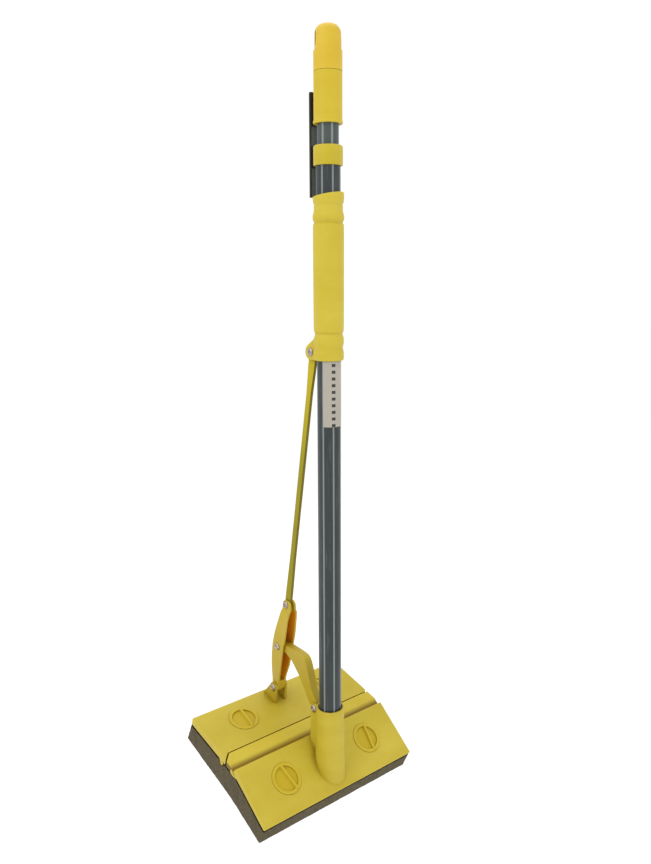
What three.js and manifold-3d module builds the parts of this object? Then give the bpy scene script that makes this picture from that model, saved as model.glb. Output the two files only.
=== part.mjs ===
// Folding sponge mop with a telescopic pole, millimetres, +Z up along the pole.
// The origin is the middle of the hanging slot in the top cap.
// +X runs along the head, +Y points to the lever side (the rear).
import * as THREE from 'three';
import { mergeVertices } from 'three/addons/utils/BufferGeometryUtils.js';
import Module from 'manifold-3d';

const wasm = await Module();
wasm.setup();

// ---- driving dimensions ----
const OUTER_TUBE_RADIUS = 12.5;
const OUTER_TUBE_BORE = 11.3;
const OUTER_TUBE_TOP = -115;
const OUTER_TUBE_BOTTOM = -745;
const INNER_TUBE_RADIUS = 10.9;
const INNER_TUBE_BORE = 10.0;
const INNER_TUBE_TOP = -20;
const INNER_TUBE_BOTTOM = -560;
const CAP_TOP = 12.4;
const CAP_SEAM = -31.2;
const END_GRIP_BOTTOM = -80;
const END_GRIP_RADIUS = 14.35;
const COLLAR_TOP = -100.4;
const COLLAR_BOTTOM = -119.8;
const GRIP_TOP = -144.6;
const GRIP_BOTTOM = -314.2;
const GRIP_RADIUS = 15.9;
const GRIP_BORE = 13.1;
const SLOT_TURN = THREE.MathUtils.degToRad(-32);
const SLOT_WIDTH = 9.6;
const SLOT_HEIGHT = 15.5;
const CAP_FLAT = 12.3;

const HEAD_LENGTH = 219.8;
const FRONT_SLOPE = THREE.MathUtils.degToRad(39.96);
const REAR_SLOPE = THREE.MathUtils.degToRad(14.72);
const FRONT_WIDTH = 68.8;
const REAR_WIDTH = 65.8;
const LEAF_GAP = 0.75;
const STRIP_FLAT = 14.15;
const WING_THICKNESS = 7;
const FRONT_LIP_THICKNESS = 1.6;
const SOCKET_RADIUS = 16;
const SOCKET_RIM = -707.5;

// Points of the linkage as [y, z], in the plane of the pole.
const FRONT_EDGE = [31.1, -755.5];
const REAR_EDGE = [56.1, -750.6];
const ROD_TOP_PIVOT = [24.5, -306.8];
const ROD_LOWER_PIVOT = [75.2, -607.9];
const ARM_LEVER_PIVOT = [88.2, -664.1];
const CLEVIS_PIVOT = [97.0, -720.6];
const ARM_SOCKET_PIVOT = [20.2, -716.0];
const FRONT_HINGE = [39.05, -762.0];
const REAR_HINGE_DEPTH = 10.4;

const HINGE_PIN_RADIUS = 1.3;
const HINGE_HOLE_RADIUS = 1.55;
const KNUCKLE_RADIUS = 2.6;
const KNUCKLE_LENGTH = 19.48;
const KNUCKLE_PITCH = 19.98;
const KNUCKLE_COUNT = 11;
const HINGE_HOOD_RADIUS = 3.9;
const HINGE_HOOD_GAP = 0.5;
const PIN_HALF_LENGTH = 107;

const RIVET_HEAD_RADIUS = 4.8;
const RIVET_HEAD_HEIGHT = 1.5;
const RIVET_SHANK_RADIUS = 2.4;
const RIVET_HOLE_RADIUS = 2.65;

const KNOB_RADIUS = 17.8;
const KNOB_SEAT_DEPTH = 2.0;
const KNOB_RISE = 0.7;
const KNOB_RIDGE_OFFSET = 3.5;
// Each knob's place along and across its leaf, and the angle it was left at.
const KNOBS = {
  knob_front_left: { at: [-58.3, -31.8], turn: 12 },
  knob_front_right: { at: [63.8, -30.8], turn: -8 },
  knob_rear_left: { at: [-56.2, 36.8], turn: -5 },
  knob_rear_right: { at: [61, 36.8], turn: 9 },
};
const ROUND = 40;

// ---- solids ----
function toSolid(geometry) {
  const bare = geometry.clone();
  bare.deleteAttribute('normal');
  bare.deleteAttribute('uv');
  const merged = mergeVertices(bare, 1e-4);
  const triVerts = new Uint32Array(merged.index.array);
  const vertProperties = new Float32Array(merged.attributes.position.array);
  return new wasm.Manifold(new wasm.Mesh({ numProp: 3, vertProperties, triVerts }));
}

function toGeometry(solid) {
  const mesh = solid.getMesh();
  const geometry = new THREE.BufferGeometry();
  geometry.setAttribute('position', new THREE.BufferAttribute(mesh.vertProperties, 3));
  geometry.setIndex(new THREE.BufferAttribute(mesh.triVerts, 1));
  geometry.computeVertexNormals();
  return geometry;
}

function join(...solids) {
  return solids.reduce((whole, solid) => whole.add(solid));
}

function cut(solid, ...tools) {
  return tools.reduce((left, tool) => left.subtract(tool), solid);
}

function outlineShape(points) {
  return new THREE.Shape(points.map(([a, b]) => new THREE.Vector2(a, b)));
}

// A closed profile of [radius, z] points turned about the pole axis.
function turned(profile, segments = ROUND) {
  const points = [...profile, profile[0]].map(([r, z]) => new THREE.Vector2(r, z));
  const geometry = new THREE.LatheGeometry(points, segments);
  geometry.rotateX(Math.PI / 2);
  return toSolid(geometry);
}

function ring(inner, outer, low, high, segments = ROUND) {
  return turned([[inner, low], [outer, low], [outer, high], [inner, high]], segments);
}

// An outline of [y, z] points made solid from x0 to x1.
function alongX(shape, x0, x1) {
  const outline = Array.isArray(shape) ? outlineShape(shape) : shape;
  const geometry = new THREE.ExtrudeGeometry(outline, { depth: x1 - x0, bevelEnabled: false, curveSegments: 10 });
  geometry.applyMatrix4(new THREE.Matrix4().set(0, 0, 1, x0, 1, 0, 0, 0, 0, 1, 0, 0, 0, 0, 0, 1));
  return toSolid(geometry);
}

// An outline of [z, x] points made solid from y0 to y1.
function alongY(points, y0, y1) {
  const geometry = new THREE.ExtrudeGeometry(outlineShape(points), { depth: y1 - y0, bevelEnabled: false });
  geometry.applyMatrix4(new THREE.Matrix4().set(0, 1, 0, 0, 0, 0, 1, y0, 1, 0, 0, 0, 0, 0, 0, 1));
  return toSolid(geometry);
}

// An outline of [x, y] points or a shape made solid from z0 to z1.
function alongZ(shape, z0, z1, segments = 12) {
  const outline = Array.isArray(shape) ? outlineShape(shape) : shape;
  const geometry = new THREE.ExtrudeGeometry(outline, {
    depth: z1 - z0, bevelEnabled: false, curveSegments: segments,
  });
  geometry.translate(0, 0, z0);
  return toSolid(geometry);
}

function box(x0, x1, y0, y1, z0, z1) {
  const geometry = new THREE.BoxGeometry(x1 - x0, y1 - y0, z1 - z0);
  geometry.translate((x0 + x1) / 2, (y0 + y1) / 2, (z0 + z1) / 2);
  return toSolid(geometry);
}

function drumX([y, z], radius, x0, x1, segments = 24) {
  const geometry = new THREE.CylinderGeometry(radius, radius, x1 - x0, segments);
  geometry.rotateZ(-Math.PI / 2);
  geometry.translate((x0 + x1) / 2, y, z);
  return toSolid(geometry);
}

function drumZ(radius, z0, z1, x = 0, y = 0, segments = 24) {
  const geometry = new THREE.CylinderGeometry(radius, radius, z1 - z0, segments);
  geometry.rotateX(Math.PI / 2);
  geometry.translate(x, y, (z0 + z1) / 2);
  return toSolid(geometry);
}

function moved(solid, matrix) {
  const geometry = toGeometry(solid);
  geometry.applyMatrix4(matrix);
  return toSolid(geometry);
}

// A rounded-corner outline: straight runs with an arc of the given radius about each centre.
function arcPoints([cy, cz], radius, from, to, steps = 8) {
  const points = [];
  for (let i = 0; i <= steps; i += 1) {
    const angle = THREE.MathUtils.degToRad(from + ((to - from) * i) / steps);
    points.push([cy + radius * Math.cos(angle), cz + radius * Math.sin(angle)]);
  }
  return points;
}

// ---- the two sloping planes of the head ----
// Local x runs along the head, local y up the slope to the rear, local z out of the top face.
function slopeFrame([y, z], slope) {
  const turn = new THREE.Matrix4().makeRotationX(slope);
  return new THREE.Matrix4().makeTranslation(0, y, z).multiply(turn);
}

const frontFrame = slopeFrame(FRONT_EDGE, FRONT_SLOPE);
const rearFrame = slopeFrame(REAR_EDGE, REAR_SLOPE);
const halfHead = HEAD_LENGTH / 2;

function inFrame(frame, along, up) {
  const point = new THREE.Vector3(0, along, up).applyMatrix4(frame);
  return [point.y, point.z];
}

function frameAt(frame, x, along, up) {
  return frame.clone().multiply(new THREE.Matrix4().makeTranslation(x, along, up));
}

const rearHinge = inFrame(rearFrame, 0, -REAR_HINGE_DEPTH);

// ---- materials ----
function plastic(color, roughness = 0.5) {
  return new THREE.MeshStandardMaterial({ color, roughness, metalness: 0 });
}

function metal(color, roughness = 0.35) {
  return new THREE.MeshStandardMaterial({ color, roughness, metalness: 0.9 });
}

const YELLOW = 0xd6c04a;
const OLIVE_YELLOW = 0xc2ae34;
const SLATE = 0x4a5356;
const FOAM = 0x635b4e;
const STEEL = 0xb9b5ac;
const NYLON = 0xd9d9d2;
const LABEL = 0xb9b4a5;

const assembly = new THREE.Group();

function addPart(name, solid, material, parent = assembly) {
  const mesh = new THREE.Mesh(toGeometry(solid), material);
  mesh.name = name;
  parent.add(mesh);
  return mesh;
}

// ---- telescopic pole ----
function outerTube() {
  const tube = ring(OUTER_TUBE_BORE, OUTER_TUBE_RADIUS, OUTER_TUBE_BOTTOM, OUTER_TUBE_TOP);
  return cut(tube, drumX(SOCKET_SCREW, 1.75, 5, 20, 16));
}

function innerTube() {
  return ring(INNER_TUBE_BORE, INNER_TUBE_RADIUS, INNER_TUBE_BOTTOM, INNER_TUBE_TOP);
}

function guidePlug() {
  const headTop = INNER_TUBE_BOTTOM - 0.3;
  const spigot = INNER_TUBE_BORE - 0.3;
  return turned([
    [0, headTop - 14], [OUTER_TUBE_BORE - 1.2, headTop - 14], [OUTER_TUBE_BORE - 0.3, headTop - 12.5],
    [OUTER_TUBE_BORE - 0.3, headTop], [spigot, headTop], [spigot, headTop + 16], [0, headTop + 16],
  ]);
}

function splitCollet() {
  const body = turned([
    [11.2, OUTER_TUBE_TOP + 0.3], [13.4, OUTER_TUBE_TOP + 0.3], [13.4, OUTER_TUBE_TOP + 6],
    [12.6, OUTER_TUBE_TOP + 11], [11.2, OUTER_TUBE_TOP + 11],
  ]);
  return cut(body, box(-1.2, 1.2, -20, 0, OUTER_TUBE_TOP - 5, OUTER_TUBE_TOP + 15));
}

function lockCollar() {
  const r = 14.9;
  return turned([
    [12.9, COLLAR_BOTTOM], [14.1, COLLAR_BOTTOM], [r, COLLAR_BOTTOM + 0.9], [r, COLLAR_TOP - 1.1],
    [13.9, COLLAR_TOP], [11.3, COLLAR_TOP], [11.3, COLLAR_TOP - 2.8], [13.75, COLLAR_TOP - 2.8],
    [13.75, OUTER_TUBE_TOP], [12.9, OUTER_TUBE_TOP],
  ]);
}

function endGrip() {
  const r = END_GRIP_RADIUS;
  const bottom = END_GRIP_BOTTOM;
  const sleeve = turned([
    [11.25, bottom], [r + 0.2, bottom], [r + 0.55, bottom + 0.8], [r + 0.55, bottom + 2.4],
    [r, bottom + 3.4], [r, CAP_SEAM - 0.3], [11.25, CAP_SEAM - 0.3],
  ]);
  const boss = box(-3.4, 3.4, 12.2, 17, -74, -52);
  const holes = [-57, -69].map((z) => drumY(RIVET_PILOT_RADIUS, 13, 20, 0, z));
  return cut(join(sleeve, boss), drumZ(11.25, -90, -20, 0, 0, ROUND), ...holes);
}

const RIVET_PILOT_RADIUS = 1.8;

function drumY(radius, y0, y1, x, z, segments = 16) {
  const geometry = new THREE.CylinderGeometry(radius, radius, y1 - y0, segments);
  geometry.translate(x, (y0 + y1) / 2, z);
  return toSolid(geometry);
}

function hangCap() {
  const body = turned([
    [0, -19.4], [11.25, -19.4], [11.25, CAP_SEAM], [14.4, CAP_SEAM], [14.4, -10], [14.2, -3],
    [13.7, 2.3], [12.9, 5.7], [11.6, 8.3], [9.6, 10.5], [6.9, 11.8], [3.6, CAP_TOP - 0.1], [0, CAP_TOP],
  ]);
  const halfWidth = SLOT_WIDTH / 2;
  const straight = SLOT_HEIGHT / 2 - halfWidth;
  const slotOutline = [
    ...arcPoints([0, straight], halfWidth, 0, 180), ...arcPoints([0, -straight], halfWidth, 180, 360),
  ];
  const turn = new THREE.Matrix4().makeRotationZ(SLOT_TURN);
  const slot = moved(alongX(slotOutline, -20, 20), turn);
  const flats = [-1, 1].map((side) => {
    const inner = side * CAP_FLAT;
    const outer = side * 20;
    return moved(box(Math.min(inner, outer), Math.max(inner, outer), -20, 20, -12.4, 6.4), turn);
  });
  return cut(body, slot, ...flats);
}

function hangerStrip() {
  const blade = alongY([
    [-149.4, -8.6], [-149.4, 8.6], [-49.5, 8.6], [-47.8, 6.8], [-47.8, -7.8], [-48.6, -8.6],
  ], 17.3, 19.3);
  return cut(blade, ...[-57, -69].map((z) => drumY(RIVET_PILOT_RADIUS, 16, 21, 0, z)));
}

function hangerRivet(z) {
  const shank = drumY(RIVET_PILOT_RADIUS - 0.3, 13.6, 19.9, 0, z);
  const head = drumY(3.4, 19.6, 20.8, 0, z, 20);
  return join(shank, head);
}

function label() {
  const inner = OUTER_TUBE_RADIUS + 0.08;
  const outer = inner + 0.15;
  const from = THREE.MathUtils.degToRad(199.7);
  const to = THREE.MathUtils.degToRad(334.7);
  const shape = new THREE.Shape();
  shape.absarc(0, 0, outer, from, to, false);
  shape.absarc(0, 0, inner, to, from, true);
  return alongZ(shape, -383.3, -314.6, 16);
}

// ---- sliding grip and push rod ----
function slideGrip() {
  const r = GRIP_RADIUS;
  const profile = [
    [GRIP_BORE, GRIP_BOTTOM], [r - 1.6, GRIP_BOTTOM], [r - 0.6, GRIP_BOTTOM + 0.8], [r - 0.2, -311.6],
    [r - 0.2, -306.4], [r - 0.5, -304.4], [r - 1.0, -303.2], [r - 1.2, -301.2], [r - 1.1, -299.4],
    [r - 0.5, -297.4], [r - 0.2, -295], [r - 0.2, -292], [r - 0.5, -290], [r - 1.3, -287.6], [r - 1.55, -286.4],
    [r - 1.5, -285.4], [r - 0.55, -284.6], [r - 0.3, -281], [r - 0.1, -272], [r, -250], [r, -190],
    [r - 0.1, -179], [r - 0.35, -176.4], [r - 1.2, -175.4], [r - 1.2, -174.2], [r - 0.15, -172.6],
    [r + 0.2, -171], [r + 0.2, -168.4], [r - 0.2, -166.4], [r - 0.9, -164.6], [r - 1.1, -161.4],
    [r - 1.0, -158.6], [r - 1.3, -157.9], [r - 1.25, -156.7], [r - 0.4, -155.4], [r - 0.05, -152.6],
    [r + 0.15, -149], [r + 0.1, -146.4], [r - 0.6, GRIP_TOP - 0.4], [r - 1.4, GRIP_TOP], [GRIP_BORE, GRIP_TOP],
  ];
  const [gy, gz] = ROD_TOP_PIVOT;
  const earOutline = [
    [8, -289], [14.6, -290], ...arcPoints([gy, gz], 8.2, 52, -90), [8, gz - 8.2],
  ].reverse();
  const ears = alongX(earOutline, -5.2, 5.2);
  const rodSlot = alongX([[16.2, -330], [50, -330], [50, -280], [16.2, -296.6]], -2.2, 2.2);
  const rimCut = alongX([[-40, -141.2], [40, -154], [40, -130], [-40, -130]], -30, 30);
  const turnToLow = new THREE.Matrix4().makeRotationZ(THREE.MathUtils.degToRad(35));
  const body = cut(
    join(turned(profile), ears),
    drumZ(GRIP_BORE, -330, -130, 0, 0, ROUND),
    rodSlot,
    drumX(ROD_TOP_PIVOT, RIVET_HOLE_RADIUS, -8, 8),
    moved(rimCut, turnToLow),
  );
  return body;
}

// A headed pivot pin along X through the plane of the linkage.
function rivet(pivot, grip) {
  const headInner = grip + 0.3;
  const headOuter = headInner + RIVET_HEAD_HEIGHT;
  return join(
    drumX(pivot, RIVET_SHANK_RADIUS, -headInner - 0.5, headInner + 0.5, 20),
    drumX(pivot, RIVET_HEAD_RADIUS, -headOuter, -headInner),
    drumX(pivot, RIVET_HEAD_RADIUS, headInner, headOuter),
  );
}

// One half of a pivot whose other half sits in the opposite plate.
function stubRivet(pivot, side, inner, grip) {
  const headInner = grip + 0.3;
  const ends = [side * inner, side * (headInner + 0.5)];
  const heads = [side * headInner, side * (headInner + RIVET_HEAD_HEIGHT)];
  return join(
    drumX(pivot, RIVET_SHANK_RADIUS, Math.min(...ends), Math.max(...ends), 20),
    drumX(pivot, RIVET_HEAD_RADIUS, Math.min(...heads), Math.max(...heads)),
  );
}

const ROD_HALF_THICKNESS = 1.8;
const rodDirection = Math.atan2(
  ROD_LOWER_PIVOT[1] - ROD_TOP_PIVOT[1], ROD_LOWER_PIVOT[0] - ROD_TOP_PIVOT[0]);
const rodLength = Math.hypot(
  ROD_LOWER_PIVOT[0] - ROD_TOP_PIVOT[0], ROD_LOWER_PIVOT[1] - ROD_TOP_PIVOT[1]);

function pushRod() {
  const outline = [
    ...arcPoints([0, 0], 6, 250, 110, 8), [14, 5.2], [45, 3.6], [rodLength - 60, 3.5], [rodLength - 16, 4.5],
    ...arcPoints([rodLength, 0], 4.8, 70, -70, 8), [rodLength - 16, -4.5], [rodLength - 60, -3.5],
    [45, -3.6], [14, -5.2],
  ].reverse();
  const place = new THREE.Matrix4().makeTranslation(0, ...ROD_TOP_PIVOT)
    .multiply(new THREE.Matrix4().makeRotationX(rodDirection));
  const bar = moved(alongX(outline, -ROD_HALF_THICKNESS, ROD_HALF_THICKNESS), place);
  return cut(bar, drumX(ROD_TOP_PIVOT, RIVET_HOLE_RADIUS, -5, 5));
}

// ---- lever and arm ----
const LEVER_LEVELS = [
  [-595, 4.2], [-613.4, 4.4], [-617, 6.4], [-627.5, 7.6], [-640, 8.1], [-668, 8.1], [-690, 7.6], [-710, 5.7],
  [-735, 5.7],
];
const LEVER_PLATE = 2.1;

function leverFront(shrink) {
  const right = LEVER_LEVELS.map(([z, half]) => [z, half - shrink]);
  const left = [...LEVER_LEVELS].reverse().map(([z, half]) => [z, shrink - half]);
  return [...right, ...left];
}

function lever() {
  const [ey, ez] = ROD_LOWER_PIVOT;
  const [cy, cz] = CLEVIS_PIVOT;
  const side = [
    [66.5, -614], [66.8, -606], [70, ez + 5], ...arcPoints([ey, ez], 5.4, 90, 0, 6), [81.6, -616],
    [85.5, -628], [92.6, -646], [97.3, -662], [99.6, -676], [100.8, -690], [102, -706],
    ...arcPoints([cy, cz], 5.2, 0, -180, 8), [88.5, -705], [84, -692], [78.5, -668], [73.5, -650], [70, -630],
  ].reverse();
  const cavity = [
    [50, -590], [110, -590], [110, -616.5], [79.6, -616.5], [83.4, -628.4], [90.4, -646.6], [95, -662.4],
    [97.4, -676.4], [98.4, -690], [98.9, -703], [96, -711.5], [50, -711.5],
  ].reverse();
  const bulk = alongX(side, -9, 9).intersect(alongY(leverFront(0), 40, 120));
  const hollow = alongX(cavity, -9, 9).intersect(alongY(leverFront(LEVER_PLATE), 40, 120));
  return cut(
    bulk,
    hollow,
    ...[ROD_LOWER_PIVOT, ARM_LEVER_PIVOT, CLEVIS_PIVOT].map((pivot) => drumX(pivot, RIVET_HOLE_RADIUS, -10, 10)),
  );
}

const ARM_HALF_THICKNESS = 4.9;

function arm() {
  const outline = [
    ...arcPoints(ARM_LEVER_PIVOT, 5.2, 90, -80, 8), [76, -668.6], [64, -674.6], [50.5, -688], [40, -702.3],
    [31.4, -715.5], ...arcPoints(ARM_SOCKET_PIVOT, 5.2, -20, -200, 8), [20.5, -708], [28.3, -697],
    [33.4, -680], [37.6, -668.5], [40.2, -664.2], [44.5, -661.6], [52, -660.4], [70, -659.4],
  ].reverse();
  return cut(
    alongX(outline, -ARM_HALF_THICKNESS, ARM_HALF_THICKNESS),
    drumX(ARM_SOCKET_PIVOT, RIVET_HOLE_RADIUS, -8, 8),
  );
}

// ---- head ----
function knuckleSpans(offset, grow = 0) {
  const start = (-KNUCKLE_COUNT / 2) * KNUCKLE_PITCH;
  const spans = [];
  for (let i = offset; i < KNUCKLE_COUNT; i += 2) {
    const x0 = start + i * KNUCKLE_PITCH + (KNUCKLE_PITCH - KNUCKLE_LENGTH) / 2;
    spans.push([x0 - grow, x0 + KNUCKLE_LENGTH + grow]);
  }
  return spans;
}

function knuckles(hinge, web, offset) {
  const pieces = knuckleSpans(offset).flatMap(([x0, x1]) => [
    drumX(hinge, KNUCKLE_RADIUS, x0, x1, 20), alongX(web, x0, x1),
  ]);
  return join(...pieces);
}

// A straight web of the given half thickness from the hinge axis to a point of the leaf.
function plainWeb([hy, hz], [ty, tz], half = 2.2) {
  const length = Math.hypot(ty - hy, tz - hz);
  const across = [(-(tz - hz) / length) * half, ((ty - hy) / length) * half];
  return [
    [hy - across[0], hz - across[1]], [ty - across[0], tz - across[1]],
    [ty + across[0], tz + across[1]], [hy + across[0], hz + across[1]],
  ];
}

function hingePin(hinge) {
  return drumX(hinge, HINGE_PIN_RADIUS, -PIN_HALF_LENGTH, PIN_HALF_LENGTH, 14);
}

function pinHole(hinge) {
  return drumX(hinge, HINGE_HOLE_RADIUS, -PIN_HALF_LENGTH - 0.4, PIN_HALF_LENGTH + 0.4, 16);
}

function knobSeats(frame, knobs) {
  return knobs.flatMap(([x, along]) => [
    moved(drumZ(5.4, -20, 20, x, along, 20), frame),
    moved(drumZ(KNOB_RADIUS + 0.3, -KNOB_SEAT_DEPTH, 20, x, along, 40), frame),
  ]);
}

// A leaf's outline in plan, with rounded corners at its outer end.
function leafPlan(inner, outer, radius) {
  const dir = Math.sign(outer - inner);
  const x = halfHead;
  const arc = (cx, cy, from, to) => arcPoints([cx, cy], radius, from, to, 4);
  const y = outer - dir * radius;
  const corners = dir > 0
    ? [...arc(x - radius, y, 0, 90), ...arc(-x + radius, y, 90, 180)]
    : [...arc(-x + radius, y, 180, 270), ...arc(x - radius, y, 270, 360)];
  return dir > 0
    ? [[-x, inner], [x, inner], ...corners]
    : [[x, inner], [-x, inner], ...corners];
}

function frontWing() {
  const profile = moved(alongX([
    [0, 0], [-FRONT_WIDTH, 0], [-FRONT_WIDTH, -FRONT_LIP_THICKNESS], [0, -WING_THICKNESS],
  ], -halfHead, halfHead), frontFrame);
  const plan = moved(alongZ(leafPlan(1, -FRONT_WIDTH, 1.3), -12, 2), frontFrame);
  const slab = profile.intersect(plan);
  const below = moved(alongX([
    [40, -WING_THICKNESS - 3.35], [-FRONT_WIDTH - 30, FRONT_LIP_THICKNESS - 1.2],
    [-FRONT_WIDTH - 30, -90], [40, -90],
  ], -60, 60), frontFrame);
  const post = turned([
    [0, -815], [SOCKET_RADIUS + 2.4, -815], [SOCKET_RADIUS + 0.9, -765], [SOCKET_RADIUS, -722],
    [SOCKET_RADIUS - 0.4, SOCKET_RIM - 2], [SOCKET_RADIUS - 0.6, SOCKET_RIM], [0, SOCKET_RIM],
  ]);
  const [ay, az] = ARM_SOCKET_PIVOT;
  const lugOutline = [
    [0, az + 5.6], ...arcPoints([ay, az], 5.6, 90, 0, 6), [26.3, -762], [0, -780],
  ].reverse();
  const lug = alongX(lugOutline, -7.8, 7.8);
  const armSlot = alongX([[14.6, -729], [14.6, -690], [60, -690], [60, -736], [24, -736]], -5.3, 5.3);
  const at = (a, n) => inFrame(frontFrame, a, n);
  const web = [
    at(-9.5, -6.1), at(-1.5, -12.2), at(0.9, -12.6), at(1.9, -10.1), at(-0.9, -9.0), at(-4.3, -7.75),
    at(-4.9, -6.95), at(-8, -6.2),
  ];
  return cut(
    join(
      cut(join(slab, cut(join(post, lug), below)),
        drumX(FRONT_HINGE, HINGE_HOOD_RADIUS + HINGE_HOOD_GAP, -130, 130, 48)),
      knuckles(FRONT_HINGE, web, 0),
    ),
    drumZ(OUTER_TUBE_RADIUS + 0.5, OUTER_TUBE_BOTTOM - 0.4, -690, 0, 0, ROUND),
    drumZ(13.9, SOCKET_RIM - 3, -690, 0, 0, ROUND),
    armSlot,
    drumX(ARM_SOCKET_PIVOT, RIVET_HOLE_RADIUS, -9, 9),
    pinHole(FRONT_HINGE),
    drumX(SOCKET_SCREW, 1.75, 5, 30, 16),
    drumX(SOCKET_SCREW, 3.3, 14.7, 30, 18),
    ...knobSeats(frontFrame, [KNOBS.knob_front_left.at, KNOBS.knob_front_right.at]),
  );
}

const CHAMFER = 7.5;
const CHAMFER_GAP = 1;

// The strip's left rear corner is cut off, and the rear leaf fills it.
function chamferCorner(along, grow) {
  const c = CHAMFER + grow;
  const corner = [[-halfHead - 1, along], [-halfHead - 1, along - c - 1], [-halfHead + c, along]];
  return moved(alongZ(corner, -30, 10), rearFrame);
}

function centreStrip() {
  const top = -LEAF_GAP;
  const [hx, hn] = [-19.39, -6.69];
  const hood = arcPoints([hx, hn], HINGE_HOOD_RADIUS, 117, 176, 12);
  const slab = moved(alongX([
    [top, 0], [top - STRIP_FLAT, 0], ...hood, [hx, hn], [-16.3, -WING_THICKNESS], [top, -WING_THICKNESS],
  ], -halfHead, halfHead), rearFrame);
  const relief = knuckleSpans(0, 0.26).map(([x0, x1]) => drumX(
    FRONT_HINGE, KNUCKLE_RADIUS + 0.5, Math.max(x0, -halfHead - 1), x1, 24));
  const drums = knuckleSpans(1).map(([x0, x1]) => drumX(FRONT_HINGE, KNUCKLE_RADIUS, x0, x1, 20));
  const rearWeb = plainWeb(rearHinge, inFrame(rearFrame, top - 3, -5));
  return cut(
    join(
      cut(slab, chamferCorner(top, CHAMFER_GAP), ...relief),
      ...drums,
      knuckles(rearHinge, rearWeb, 1),
    ),
    pinHole(FRONT_HINGE),
    pinHole(rearHinge),
  );
}

function rearWing() {
  const start = LEAF_GAP;
  const profile = moved(alongX([
    [start, 0], [REAR_WIDTH, 0], [REAR_WIDTH, -WING_THICKNESS], [start, -WING_THICKNESS],
  ], -halfHead, halfHead), rearFrame);
  const plan = moved(alongZ(leafPlan(start - 1, REAR_WIDTH, 1.6), -12, 2), rearFrame);
  const farCorner = moved(alongZ([
    [halfHead - 3.2, start - 1], [halfHead + 1, start - 1], [halfHead + 1, start + 3.4],
  ], -12, 2), rearFrame);
  const slab = cut(profile.intersect(plan), farCorner);
  const layer = moved(alongZ([
    [-halfHead, -12], [halfHead, -12], [halfHead, 2], [-halfHead, 2],
  ], -WING_THICKNESS, 0), rearFrame);
  const tab = chamferCorner(start + 0.05, 0).intersect(layer);
  const [cy, cz] = CLEVIS_PIVOT;
  const earOutline = [
    [94.8, -744], ...arcPoints([cy, cz], 6.4, 160, 20, 8), [119.5, -738],
  ].reverse();
  const ears = cut(alongX(earOutline, -8.7, 8.7), box(-6, 6, 60, 140, -734, -690));
  const earGap = moved(box(-6, 6, 20, 90, 0.2, 60), rearFrame);
  const web = plainWeb(rearHinge, inFrame(rearFrame, start + 3, -5));
  return cut(
    join(slab, tab, cut(ears, earGap), knuckles(rearHinge, web, 0)),
    drumX(CLEVIS_PIVOT, RIVET_HOLE_RADIUS, -12, 12),
    pinHole(rearHinge),
    ...knobSeats(rearFrame, [KNOBS.knob_rear_left.at, KNOBS.knob_rear_right.at]),
  );
}

// ---- quarter-turn fasteners and backing plates, in the frame of a wing ----
function knob() {
  const floor = -KNOB_SEAT_DEPTH + 1.1;
  const base = drumZ(KNOB_RADIUS, -KNOB_SEAT_DEPTH + 0.3, KNOB_RISE, 0, 0, 40);
  const bowl = drumZ(KNOB_RADIUS - 3.8, floor, 6, 0, 0, 36);
  const reach = KNOB_RADIUS - 2.6;
  const foot = floor - 0.4;
  const crest = KNOB_RISE + 1;
  const fin = moved(
    alongX([[-2.6, foot], [2.6, foot], [1.2, crest], [-1.2, crest]], -reach, reach),
    new THREE.Matrix4().makeTranslation(KNOB_RIDGE_OFFSET, 0, 0).multiply(
      new THREE.Matrix4().makeRotationZ(Math.PI / 2)),
  );
  const shank = drumZ(4.9, KNOB_TAB_BOTTOM, floor, 0, 0, 20);
  const tabs = box(-7.6, 7.6, -2.2, 2.2, KNOB_TAB_BOTTOM, KNOB_TAB_TOP);
  return join(cut(base, bowl), fin, shank, tabs);
}

const PLATE_TOP = -7.5;
const PLATE_THICKNESS = 2.5;
const KNOB_TAB_TOP = -11.2;
const KNOB_TAB_BOTTOM = -13.9;

function backingPlate(alongLow, alongHigh, knobs) {
  const plate = box(-98, 98, alongLow, alongHigh, PLATE_TOP - PLATE_THICKNESS, PLATE_TOP);
  const keyholes = knobs.flatMap(({ at: [x, along], turn }) => {
    const place = new THREE.Matrix4().makeTranslation(x, along, 0)
      .multiply(new THREE.Matrix4().makeRotationZ(THREE.MathUtils.degToRad(turn)));
    return [drumZ(5.3, -20, 0, x, along, 20), moved(box(-2.7, 2.7, -8.2, 8.2, -20, 0), place)];
  });
  return cut(plate, ...keyholes);
}

// ---- sponge blocks ----
const SPONGE_GAP = 0.3;

function spongePockets(frame, low, high, knobs) {
  const pocket = box(-99, 99, low - 1, high + 1, PLATE_TOP - PLATE_THICKNESS - 0.4, 10);
  const wells = knobs.map(({ at: [x, along] }) => drumZ(9.2, KNOB_TAB_BOTTOM - 1, 0, x, along, 20));
  return [pocket, ...wells].map((solid) => moved(solid, frame));
}

const SPONGE_FRONT_BOTTOM = [-10.7, -822.0];
const SPONGE_MIDDLE_BOTTOM = [41.2, -796.8];
const SPONGE_REAR_BOTTOM = [133.3, -765.2];

function frontSponge() {
  const outline = [
    inFrame(frontFrame, -10.6, -7.0), inFrame(frontFrame, -FRONT_WIDTH, -1.9),
    SPONGE_FRONT_BOTTOM, [33.6, -800.5], [33.6, -767.3],
  ];
  return cut(
    alongX(outline, -halfHead, halfHead),
    ...spongePockets(frontFrame, -62, -14, [KNOBS.knob_front_left, KNOBS.knob_front_right]),
  );
}

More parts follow.
